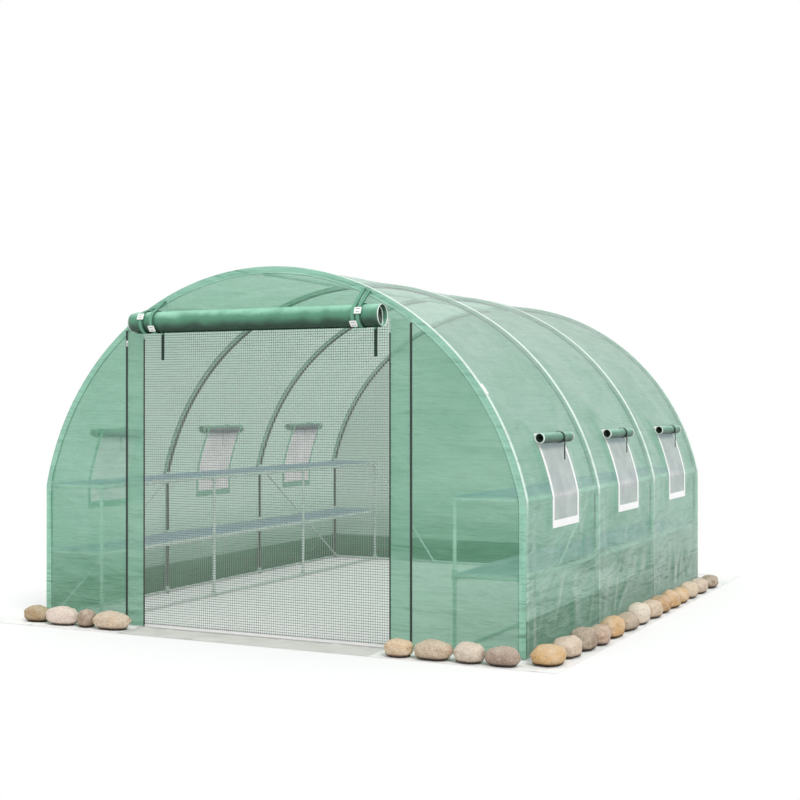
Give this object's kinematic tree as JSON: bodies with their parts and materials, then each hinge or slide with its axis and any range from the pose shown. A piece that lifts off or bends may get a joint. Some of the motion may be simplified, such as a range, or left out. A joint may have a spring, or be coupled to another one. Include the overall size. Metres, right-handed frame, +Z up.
{
  "type": "polytunnel greenhouse",
  "caption": "Walk-in hooped garden greenhouse: steel tube frame, green ripstop film cover, rolled door over a zipped mesh screen, roll-up side windows, shelves, skirt held by stones.",
  "frame": {"origin": "bottom centre of the bounding box, on the ground under the middle of the tunnel", "axes": "+Z up, +Y along the tunnel from the door end to the rear end, so the door faces -Y and +X is on the right when looking in through the door from outside"},
  "size_m": [3.5, 4, 2],
  "materials": {
    "film": "translucent green ripstop film, softly creased",
    "jamb_film": "doubled green ripstop film",
    "rolled_film": "many turns of green ripstop film",
    "skirt_film": "pale woven film, dusty",
    "sill_cloth": "pale woven sheet",
    "door_mesh": "fine open netting with a white hem",
    "insect_screen": "fine pale insect mesh",
    "shelf_netting": "laced white netting",
    "white_tape": "white hook tape and binding",
    "webbing": "narrow woven strap",
    "white_plastic": "moulded",
    "zip_tape": "black coil zip and tape",
    "zinc_fittings": "bright zinc plate",
    "steel_tube": "galvanised tube",
    "stone": "rough field stone"
  },
  "bodies": {
    "root": {"base_bars": "steel_tube", "base_fittings": "zinc_fittings", "base_rails_inner": "steel_tube", "base_rails_outer": "steel_tube", "cover": "film", "cover_clip": "white_plastic", "door_jambs": "jamb_film", "door_roll": "rolled_film", "door_zips": "zip_tape", "front_wall_left": "film", "front_wall_right": "film", "front_wall_top": "film", "hoop_front": "steel_tube", "hoop_middle_front": "steel_tube", "hoop_middle_rear": "steel_tube", "hoop_rear": "steel_tube", "mesh_door": "door_mesh", "rear_braces": "steel_tube", "rear_wall": "film", "ridge_clamps": "zinc_fittings", "ridge_tube": "steel_tube", "roll_straps": "webbing", "shelf_fittings": "zinc_fittings", "shelf_frame_left_lower": "steel_tube", "shelf_frame_left_upper": "steel_tube", "shelf_frame_right_lower": "steel_tube", "shelf_frame_right_upper": "steel_tube", "shelf_net_left_lower": "shelf_netting", "shelf_net_left_upper": "shelf_netting", "shelf_net_right_lower": "shelf_netting", "shelf_net_right_upper": "shelf_netting", "shelf_posts": "steel_tube", "shoulder_fittings": "zinc_fittings", "side_braces": "steel_tube", "sill_flap": "sill_cloth", "skirt": "skirt_film", "stones_front": "stone", "stones_left": "stone", "stones_rear": "stone", "stones_right": "stone", "strap_buckles": "white_plastic", "window_flaps": "rolled_film", "window_screens": "insect_screen", "window_tapes": "white_tape", "window_ties": "webbing"}
  },
  "joints": []
}
